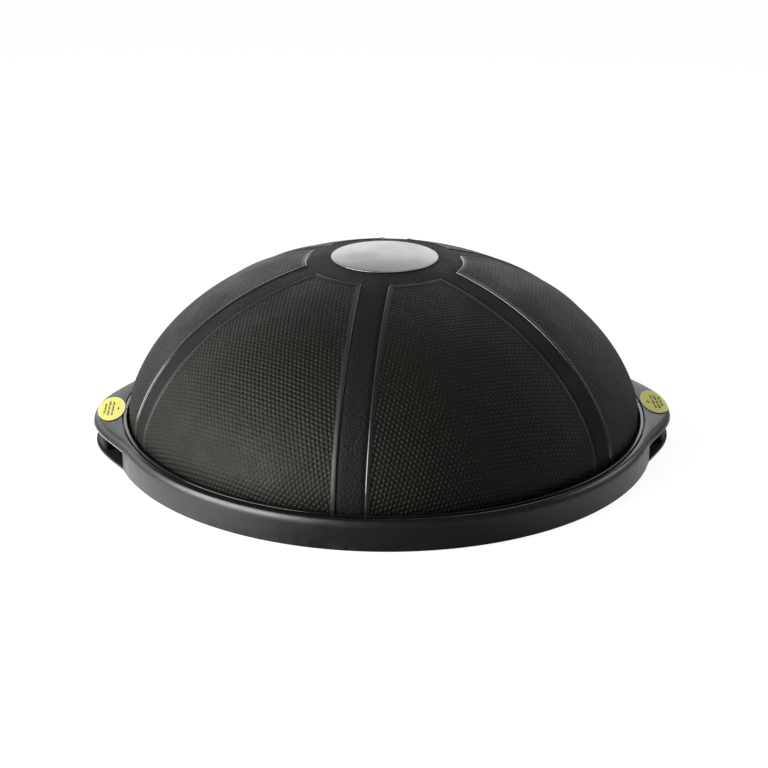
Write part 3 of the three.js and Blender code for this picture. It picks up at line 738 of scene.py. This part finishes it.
def all_round(quarter):
    """Angles round the whole plan from those between a lobe's tip and the rear."""
    angles = quarter + [math.pi - a for a in reversed(quarter[:-1])]
    angles += [math.pi + a for a in quarter[1:]]
    return angles + [TAU - a for a in reversed(quarter[1:-1])]


def from_tip(angle):
    """An angle's distance from the nearer lobe's tip."""
    return min(angle % math.pi, math.pi - angle % math.pi)


def quarter_angles():
    """Column angles from a lobe's tip to the front or rear, with columns where shapes change."""
    end_round = WALL_END_ROUND / RIM_RADIUS
    ends = [MOUTH_ANGLE + end_round * (1 - math.cos(math.pi / 2 * i / 5)) for i in range(6)]
    to_mouth = [MOUTH_ANGLE * i / 20 for i in range(20)]
    to_wing = list(np.linspace(ends[-1], WING_END_ANGLE, 5)[1:])
    just_past = 0.0005
    to_rim = list(np.linspace(WING_END_ANGLE + just_past, LOBE_HALF_ANGLE, 5))
    rest = list(np.linspace(LOBE_HALF_ANGLE, math.pi / 2, 70)[1:])
    return to_mouth + ends + to_wing + to_rim + rest


LIP_ROWS = 5  # points of the section that shape a lobe's lower edge
DECK_RADII = (0, 100 * MM, 260 * MM)


def shell_section(angle):
    """The upper shell's section at an angle from a lobe's tip, as (deck and top, wall,
    underside): three runs of (radius, z) points that follow one another."""
    outline = RIM_RADIUS + lobe_bump(angle)
    ledge = LEDGE_WIDTH * limited((LEDGE_END_ANGLE - angle) / LEDGE_FADE_ANGLE)
    top = [(radius, DECK_TOP_Z) for radius in (*DECK_RADII, POCKET_RADIUS)]
    lip = 0.7 * MM
    top += [(POCKET_RADIUS, RIM_TOP_Z - lip),
            (POCKET_RADIUS + 0.2 * lip, RIM_TOP_Z - 0.35 * lip),
            (POCKET_RADIUS + lip, RIM_TOP_Z),
            (POCKET_RADIUS + 0.45 * (outline - SHOULDER_WIDTH - POCKET_RADIUS), RIM_TOP_Z)]
    steps = 9
    for i in range(steps + 1):
        turn = math.pi / 2 * (1 - i / steps)
        top.append((outline - ledge - SHOULDER_WIDTH * (1 - math.cos(turn)),
                    RIM_TOP_Z - SHOULDER_HEIGHT * (1 - math.sin(turn))))
    for share, rise in ((1, 0.95), (0.6, 0.85), (0.15, 0.65), (0, 0.35), (0.4, 0)):
        top.append((outline - share * ledge, LOBE_PLATE_Z + rise * MM))

    inset = WING_INSET * limited((LOBE_HALF_ANGLE - angle) / (LOBE_HALF_ANGLE - MOUTH_ANGLE))
    share = limited((angle - MOUTH_ANGLE) * RIM_RADIUS / WALL_END_ROUND)
    pinch = 1 - math.sqrt(1 - (1 - share) ** 2)
    outer, inner = outline - inset - 0.9 * WALL * pinch, outline - inset - WALL
    bottom = RIM_BOTTOM_Z if angle > WING_END_ANGLE else TUNNEL_FLOOR_Z
    edge = 0.6 * MM
    wall = [(outer, LOBE_PLATE_Z), (outer, bottom + edge),
            (outer - min(edge, (outer - inner) / 3), bottom),
            (inner, bottom), (inner, LOBE_PLATE_Z)]
    well = POCKET_RADIUS + POCKET_WALL
    below = [(well, LOBE_PLATE_Z), (well, DECK_BOTTOM_Z)]
    below += [(radius, DECK_BOTTOM_Z) for radius in reversed(DECK_RADII)]
    return top, wall, below


def build_upper_shell():
    vertices, faces, marks, sections = [], [], [], []
    for angle in all_round(quarter_angles()):
        top, wall, below = shell_section(from_tip(angle))
        sections.append((len(vertices), from_tip(angle)))
        vertices += [(*on_circle(radius, angle), z) for radius, z in top + wall + below]
    count = len(vertices) // len(sections)
    wall_start, wall_end = len(top), len(top) + len(wall) - 1
    for i, (first, tip_angle) in enumerate(sections):
        after, next_tip_angle = sections[(i + 1) % len(sections)]
        both_walled = min(tip_angle, next_tip_angle) >= MOUTH_ANGLE - 1e-9
        for row in range(count - 1):
            if wall_start <= row < wall_end and not both_walled:
                continue
            faces.append((first + row, after + row, after + row + 1, first + row + 1))
            on_lip = wall_start - LIP_ROWS <= row < wall_start - 2
            # the lip's faces near the tips take the painted highlight
            marks.append(1 if on_lip and next_tip_angle < LEDGE_END_ANGLE else 0)
        if not both_walled:
            faces.append((first + wall_start, after + wall_start,
                          after + wall_end, first + wall_end))
            marks.append(2)
    shell = make_piece("platform_shell", (vertices, faces),
                       [shell_plastic, lip_painted_highlight, shaded_plastic],
                       ["platform_upper_shell"], marks=marks)
    sharpen(shell, 40)


build_upper_shell()


def onto_both_sides(build):
    """Calls build(side name, turn) for the right-hand lobe and the left-hand one."""
    for side, turn in (("right", 0.0), ("left", math.pi)):
        build(side, Matrix.Rotation(turn, 4, "Z"))


def build_grip(side, turn):
    """What shows inside a hand-hold: the wall beside the hand and the post at the tip."""
    def add(name, outline, top, edge):
        shape = placed(extruded(outline, TUNNEL_FLOOR_Z, top + 0.4 * MM, edge), turn)
        sharpen(make_piece(f"{name}_{side}", shape, [shaded_plastic],
                           ["platform_upper_shell"]))

    half = math.sqrt((RIM_RADIUS - WALL) ** 2 - TUNNEL_INNER_X ** 2)
    behind, corner = TUNNEL_INNER_X - POCKET_WALL, 1 * MM
    wall = rounded([(behind, -half, corner), (TUNNEL_INNER_X, -half, corner),
                    (TUNNEL_INNER_X, half, corner), (behind, half, corner)], closed=True)
    add("grip_wall", wall, DECK_BOTTOM_Z, 0.2 * MM)

    outer = []
    columns = 60
    for i in range(columns + 1):
        angle = -MOUTH_ANGLE + 2 * MOUTH_ANGLE * i / columns
        x, y = on_circle(RIM_RADIUS + lobe_bump(angle) - PILLAR_INSET, angle)
        if abs(y) < PILLAR_HALF_LENGTH:
            outer.append((x, y))
    corner = 5 * MM
    post = [(TUNNEL_OUTER_X, -outer[0][1], corner), (TUNNEL_OUTER_X, outer[0][1], corner),
            (*outer[0], corner * 0.8), *[(x, y, 0) for x, y in outer[5:-5]],
            (*outer[-1], corner * 0.8)]
    add("grip_post", rounded(post, 6, closed=True), LOBE_PLATE_Z, 0.3 * MM)


onto_both_sides(build_grip)


def build_ring(end, start):
    """Half of the clamp ring. It starts and ends half a split away from the handle axis."""
    top, bottom = RIM_TOP_Z, RING_BOTTOM_Z
    outline = rounded([
        (RING_INNER_RADIUS, bottom, 0.3 * MM),
        (RING_FOOT_RADIUS, bottom, 0.3 * MM),
        (RING_FOOT_RADIUS, RING_FOOT_TOP_Z, 0.2 * MM),
        (RING_OUTER_RADIUS, RING_FOOT_TOP_Z, 0.2 * MM),
        (RING_OUTER_RADIUS, top, 1.1 * MM),
        (RING_INNER_RADIUS + RING_LEAN, top, 1.2 * MM),
    ], 6, closed=True)
    gap = RING_SPLIT / 2 / RING_INNER_RADIUS
    half = turned(outline, 220, start + gap, math.pi - 2 * gap)
    sharpen(make_piece(f"ring_{end}", half, [ring_plastic],
                       [f"clamp_ring_{end}"]), 50)


build_ring("front", math.pi)
build_ring("rear", 0.0)


# ---- The underside ----

FOOT_CIRCLE, FOOT_RADIUS = 282 * MM, 11 * MM
FOOT_POCKET_TOP_Z = BASE_BOTTOM_Z + 1 * MM
SHELL_SCREW_CIRCLE = 258 * MM
COUNTERBORE_RADIUS = 4.5 * MM
COUNTERBORE_TOP_Z = 6.1 * MM
GROOVE_RADII = (60 * MM, 235 * MM)
foot_angles = evenly(8, 22.5)
shell_screw_angles = evenly(12, 15)


def cut_with(piece, tools):
    """Cuts (vertices, faces) solids out of a piece."""
    mesh = bpy.data.meshes.new("cutters")
    vertices, faces = together(tools)
    mesh.from_pydata(vertices, [], faces)
    cutter = new_object("cutters", mesh)
    boolean = piece.modifiers.new("cut", "BOOLEAN")
    boolean.object = cutter
    boolean.operation = "DIFFERENCE"
    boolean.solver = "EXACT"
    graph = bpy.context.evaluated_depsgraph_get()
    result = bpy.data.meshes.new_from_object(piece.evaluated_get(graph))
    piece.modifiers.clear()
    old = piece.data
    piece.data = result
    bpy.data.meshes.remove(old)
    bpy.data.objects.remove(cutter)
    bpy.data.meshes.remove(mesh)


def base_outline():
    """The base's plan: a disc with a wing under each lobe."""
    quarter = [MOUTH_ANGLE * i / 24 for i in range(24)]
    quarter += list(np.linspace(MOUTH_ANGLE, WING_END_ANGLE, 6))
    wing_end_slope = 0.004
    quarter += list(np.linspace(WING_END_ANGLE + wing_end_slope, math.pi / 2, 60))
    points = []
    for angle in all_round(quarter):
        radius = BASE_RADIUS
        if from_tip(angle) <= WING_END_ANGLE:
            radius = RIM_RADIUS + lobe_bump(from_tip(angle)) - WING_INSET
        points.append(on_circle(radius, angle))
    return points


def disc_cutter(radius, place, high):
    return placed(turned([(0, 0), (radius, 0), (radius, high), (0, high)], SMALL_COLUMNS), place)


def groove_cutter(inner, outer, high):
    profile = [(inner, 0), (outer, 0), (outer, high), (inner, high), (inner, 0)]
    return turned(profile, ROUND_COLUMNS // 2)


def joined(shape):
    """The same solid with shared vertices, as a tool for cutting has to have."""
    vertices, faces = shape
    mesh = bmesh.new()
    made = [mesh.verts.new(v) for v in vertices]
    for face in faces:
        mesh.faces.new([made[index] for index in face])
    weld(mesh)
    mesh.verts.index_update()
    result = [v.co.copy() for v in mesh.verts], [[v.index for v in f.verts] for f in mesh.faces]
    mesh.free()
    return result


def build_base():
    plate = extruded(base_outline(), BASE_BOTTOM_Z, BASE_TOP_Z, 0.5 * MM)
    base = make_piece("base_shell", plate, [shell_plastic],
                      ["platform_base_shell"])
    tools = []
    for angle in foot_angles:
        tools.append(disc_cutter(FOOT_RADIUS + 0.3 * MM, standing_at(FOOT_CIRCLE, angle),
                                 FOOT_POCKET_TOP_Z))
    for angle in shell_screw_angles:
        tools.append(disc_cutter(COUNTERBORE_RADIUS, standing_at(SHELL_SCREW_CIRCLE, angle),
                                 COUNTERBORE_TOP_Z))
    for radius in GROOVE_RADII:
        tools.append(groove_cutter(radius, radius + 2 * MM, BASE_BOTTOM_Z + 0.6 * MM))
    cut_with(base, [joined(tool) for tool in tools])
    base.data.materials.append(shaded_plastic)
    # upward faces, in shade under the upper shell and in the hand-holds, take the shaded copy
    for face in base.data.polygons:
        if face.normal.z > 0.9:
            face.material_index = 1
    base.data.shade_smooth()
    sharpen(base, 30)


build_base()


def build_foot(index, angle):
    top, tread = FOOT_POCKET_TOP_Z - 0.3 * MM, 0.35 * MM
    outline = [(0, tread)]
    for ring in range(1, 6):
        radius = ring * 1.6 * MM
        outline += [(radius - 0.5 * MM, tread), (radius - 0.3 * MM, 0), (radius, 0),
                    (radius + 0.2 * MM, tread)]
    outline += rounded([(9 * MM, 0, 0), (FOOT_RADIUS, 0, 0.5 * MM), (FOOT_RADIUS, top, 0.2 * MM),
                        (0, top, 0)])
    shape = placed(turned(outline, SMALL_COLUMNS), standing_at(FOOT_CIRCLE, angle))
    sharpen(make_piece(numbered("foot", index), shape, [black_rubber],
                       [numbered("rubber_foot", index)]))


for index, angle in enumerate(foot_angles):
    build_foot(index, angle)


def build_shell_screw(index, angle):
    """A pan-head screw with a cross recess, seen from below in its counterbore."""
    node = numbered("shell_screw", index)
    low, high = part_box(node)
    head, shaft, head_height = 4.2 * MM, 2 * MM, 2.6 * MM
    seat = low.z + head_height
    outline = rounded([(0, low.z, 0), (head * 0.7, low.z, 1.2 * MM),
                       (head, low.z + 1.1 * MM, 0.8 * MM), (head, seat, 0.1 * MM),
                       (shaft, seat, 0.1 * MM), (shaft, high.z - 1.5 * MM, 0.2 * MM),
                       (0, high.z, 0)])
    place = standing_at(SHELL_SCREW_CIRCLE, angle) @ Matrix.Rotation(angle * 7, 4, "Z")
    screw = make_piece(numbered("base_screw", index), placed(turned(outline, 32), place),
                       [screw_steel], [node])
    slot_width, slot_length, slot_depth = 0.55 * MM, 2.3 * MM, 1.3 * MM
    for along, across, deeper in ((slot_length, slot_width, 1), (slot_width, slot_length, 1.0001)):
        corners = [(-along, -across), (along, -across), (along, across), (-along, across)]
        vertices, faces = extruded(corners, low.z - 1 * MM, low.z + slot_depth)
        vertices = [(x, y, z * deeper) for x, y, z in vertices]  # no two cuts share a plane
        cut_with(screw, [placed((vertices, faces), place)])
    screw.data.shade_smooth()
    sharpen(screw)


for index, angle in enumerate(shell_screw_angles):
    build_shell_screw(index, angle)


# ---- The air valve ----

plug_joint = [j for j in frame["record"]["behaviour"]["joints"] if j["name"] == "plug_pull"][0]
VALVE_AXIS = Vector(plug_joint["axis"]).normalized()


def valve_place():
    """Matrix from a valve piece's own frame, with +Z out of the dome and z = 0 on the rib's
    surface, to its place."""
    flat = Vector((VALVE_AXIS.x, VALVE_AXIS.y, 0)).normalized()
    centre = flat * (BLEND_RADIUS - PANEL_RAISE)
    centre.z = DOME_BLEND_Z
    return Matrix.Translation(centre) @ VALVE_AXIS.to_track_quat("Z", "Y").to_matrix().to_4x4()


def build_valve():
    place = valve_place()
    bore, body, flange, depth = 3.3 * MM, 6.5 * MM, 9 * MM, 12 * MM
    gap, thickness = 0.3 * MM, 1.2 * MM
    outline = rounded([
        (bore, -depth, 0.3 * MM), (body, -depth, 0.8 * MM), (body, gap, 0.1 * MM),
        (flange, gap, 0.2 * MM), (flange, gap + thickness, 0.8 * MM),
        (bore, gap + thickness, 0.4 * MM),
    ], 5, closed=True)
    shape = placed(turned(outline + [outline[0]], SMALL_COLUMNS * 2), place)
    sharpen(make_piece("valve_seat", shape, [inner_rubber], ["valve_sleeve"]), 50)

    shaft, length, head, head_height = 2.9 * MM, 14 * MM, 6.5 * MM, 2.2 * MM
    seat = gap + thickness + gap
    tip, dish = seat - length, seat + head_height - 0.9 * MM
    outline = rounded([
        (0, tip, 0), (shaft - 0.7 * MM, tip, 0.5 * MM), (shaft, tip + 2 * MM, 0.5 * MM),
        (shaft, seat, 0.1 * MM), (head, seat, 0.3 * MM), (head, seat + head_height, 1.1 * MM),
        (head - 2.6 * MM, seat + head_height, 0.6 * MM), (head - 3.2 * MM, dish, 0.5 * MM),
        (0, dish, 0),
    ], 5)
    shape = placed(turned(outline, SMALL_COLUMNS * 2), place)
    sharpen(make_piece("air_plug", shape, [black_rubber], ["valve_plug"],
                       body="plug"), 50)


build_valve()


# ---- The labels on the lobes ----

def ellipse(half_x, half_y, columns):
    return [(half_x * math.cos(TAU * i / columns), half_y * math.sin(TAU * i / columns))
            for i in range(columns)]


def lobe_top(x, y):
    """Height of a right-hand lobe's top face, which rounds down to its outline."""
    shoulder_start = RIM_RADIUS + lobe_bump(math.atan2(y, x)) - LEDGE_WIDTH - SHOULDER_WIDTH
    share = min(max((math.hypot(x, y) - shoulder_start) / SHOULDER_WIDTH, 0), 0.97)
    return RIM_TOP_Z - SHOULDER_HEIGHT * (1 - math.sqrt(1 - share * share))


# How far in from a label's edge its rings lie, and the material that starts at each.
LABEL_EDGE_RING, LABEL_RINGS = 0.1 * MM, ((1.0, 1), (2.3, 0), (5, 0), (8, 0), (11, 0))
# The bars that stand for the printing: each row's place across, and its bars' starts and ends.
LABEL_ROWS = ((7.2, (-14, -6), (-4.5, 4), (5.5, 15)), (3.0, (-21, -8), (-6.5, 3), (4.5, 20)),
              (-1.2, (-20, -10), (-8.5, 8), (9.5, 20)))


def label_shape(centre_x, half_x, half_y, low, top):
    """An oval film that follows the lobe's top face, and its faces' materials."""
    rings = [(0, low, 2), (0, top - LABEL_EDGE_RING, 2), (LABEL_EDGE_RING, top, 2)]
    rings += [(inset * MM, top, mark) for inset, mark in LABEL_RINGS]
    columns = 96
    vertices = []
    for inset, height, _ in rings:
        for x, y in ellipse(half_x - inset, half_y - inset, columns):
            vertices.append((centre_x + x, y, lobe_top(centre_x + x, y) + height))
    faces, marks = [tuple(reversed(range(columns)))], [2]
    for ring, (_, _, mark) in enumerate(rings[:-1]):
        faces += band(ring * columns, (ring + 1) * columns, columns)
        marks += [mark] * columns
    faces.append(tuple(range(len(vertices) - columns, len(vertices))))
    marks.append(0)
    return (vertices, faces), marks


def build_label(side, turn):
    node = f"handle_label_{side}"
    low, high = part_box(node)
    centre_x = abs(low.x + high.x) / 2
    top = high.z - RIM_TOP_Z - 0.05 * MM
    shape, marks = label_shape(centre_x, (high.x - low.x) / 2, (high.y - low.y) / 2,
                               0.25 * MM, top)
    label = make_piece(f"label_{side}", placed(shape, turn), [label_yellow, label_pale, label_edge],
                       [node], marks=marks)
    sharpen(label)

    low_z, high_z = RIM_TOP_Z + top - 0.02 * MM, high.z
    half_width = 1.15 * MM
    corner = half_width * 0.9
    bars = []
    for across, *spans in LABEL_ROWS:
        left, right = centre_x + across * MM - half_width, centre_x + across * MM + half_width
        for start, end in spans:
            outline = rounded([(left, start * MM, corner), (right, start * MM, corner),
                               (right, end * MM, corner), (left, end * MM, corner)], closed=True)
            bars.append(extruded(outline, low_z, high_z))
    make_piece(f"label_print_{side}", placed(together(bars), turn), [label_ink])

    outline = [(centre_x - 6.6 * MM + x, y) for x, y in ellipse(1.9 * MM, 4.6 * MM, 40)]
    make_piece(f"label_dot_{side}", placed(extruded(outline, low_z, high_z), turn),
               [label_orange])


onto_both_sides(build_label)


# ---- CAD nodes that stay: hidden inside, with their own materials ----

def dress(node, material):
    shown = frame["nodes"][node]
    shown.data.materials.clear()
    shown.data.materials.append(material)


dress("bladder_floor", inner_rubber)
for index in range(8):
    dress(numbered("clamp_screw", index), screw_steel)


# ---- Floor, light and camera ----

WORLD_DIM, WORLD_BRIGHT = 0.2, 2.5
# Floor glow beside the object, as X where it starts, is full, starts to fade and has faded, and
# its strength.
FLOOR_GLOWS = [(-0.09, -0.25, -0.31, -0.37, 1.6), (0.07, 0.32, 0.33, 0.40, 0.75)]
WHITE = (1, 1, 1, 1)


def grey(level):
    return level, level, level, 1


def finish_stage(nodes, kind, for_camera, for_other):
    """Ends a tree with a mix of what the camera sees and what lights and reflects."""
    path = nodes.node("ShaderNodeLightPath").outputs["Is Camera Ray"]
    mix = nodes.made("ShaderNodeMixShader", path, for_other, for_camera)
    nodes.feed(nodes.node(kind).inputs[0], mix)


def build_floor():
    """A white floor to the eye. As light it glows at the object's two sides, as a studio's
    sweep does, and is dark in front."""
    vertices, faces = turned([(0, 0), (1, 0), (4, 0), (14, 0)], 64)
    mesh = bpy.data.meshes.new("floor")
    mesh.from_pydata(vertices, [], faces)
    new_object("floor", mesh)
    material = bpy.data.materials.new("floor")
    material.use_nodes = True
    material.node_tree.nodes.clear()
    nodes = Nodes(material.node_tree)
    x = nodes.axes(nodes.node("ShaderNodeTexCoord").outputs["Object"])["X"]
    bands = []
    for near, full, fade, far, glow in FLOOR_GLOWS:
        rise = nodes.spread(x, near, full, 0.0, glow)
        bands.append(nodes.math("MULTIPLY", rise, nodes.spread(x, fade, far, 1.0, 0.15)))
    seen = nodes.made("ShaderNodeAddShader", nodes.made("ShaderNodeEmission", WHITE, 0.90),
                      nodes.made("ShaderNodeBsdfDiffuse", grey(0.22)))
    sides = nodes.made("ShaderNodeEmission", WHITE, nodes.math("ADD", *bands))
    unseen = nodes.made("ShaderNodeAddShader", sides,
                        nodes.made("ShaderNodeBsdfDiffuse", grey(0.2)))
    finish_stage(nodes, "ShaderNodeOutputMaterial", seen, unseen)
    mesh.materials.append(material)


def build_world():
    """A white surround to the eye. As light it is a bright band low behind the object, dim
    overhead and in front."""
    world = bpy.data.worlds.new("studio")
    bpy.context.scene.world = world
    world.use_nodes = True
    world.node_tree.nodes.clear()
    nodes = Nodes(world.node_tree)
    x, y, z = nodes.axes(nodes.node("ShaderNodeTexCoord").outputs["Generated"])
    behind, low_down = nodes.spread(y, -0.15, 0.35), nodes.spread(z, 0.36, 0.62, 1.0, 0.0)
    share = nodes.math("MULTIPLY", nodes.math("MULTIPLY", behind, low_down),
                       nodes.spread(x, 0.25, 0.7, 1.0, 0.15))
    strength = nodes.made("ShaderNodeMapRange", share, 0, 1, WORLD_DIM, WORLD_BRIGHT)
    finish_stage(nodes, "ShaderNodeOutputWorld", nodes.made("ShaderNodeBackground", WHITE),
                 nodes.made("ShaderNodeBackground", grey(0.8), strength))


def stand(name, data, azimuth, elevation, distance, aim_z, roll=0.0):
    """Stands a light or camera off from the object, facing a point over the origin. Azimuth and
    elevation are in degrees, like the views' own."""
    turn, rise = math.radians(azimuth), math.radians(elevation)
    back = Vector((math.sin(turn) * math.cos(rise), -math.cos(turn) * math.cos(rise),
                   math.sin(rise)))
    made = new_object(name, data)
    made.location = back * distance + Vector((0, 0, aim_z))
    made.rotation_mode = "QUATERNION"
    tilt = Quaternion((0, 0, 1), math.radians(roll))
    made.rotation_quaternion = back.to_track_quat("Z", "Y") @ tilt
    return made


def softbox(name, azimuth, elevation, distance, width, height, radiance):
    """An area light. Radiance is its brightness per unit of area and solid angle."""
    data = bpy.data.lights.new(name, "AREA")
    data.shape = "RECTANGLE"
    data.size, data.size_y = width, height
    data.energy = radiance * math.pi * width * height
    stand(name, data, azimuth, elevation, distance, 0.08).visible_camera = False


build_floor()
build_world()
softbox("key_left", -62, 15, 1.9, 1.8, 1.1, 14.2)
softbox("fill_right", 100, 24, 2.0, 1.2, 0.9, 2.0)
softbox("over_right", 150, 60, 2.0, 1.2, 0.9, 1.4)


def build_camera():
    data = bpy.data.cameras.new("camera")
    data.sensor_width = 36
    data.lens = 83.45
    data.shift_x, data.shift_y = -0.0002, -0.0652
    data.clip_start, data.clip_end = 0.05, 60
    bpy.context.scene.camera = stand("camera", data, -3.1, 19.55, 1.978, 0.120, roll=0.4)


build_camera()
bpy.context.scene.view_settings.view_transform = "Standard"
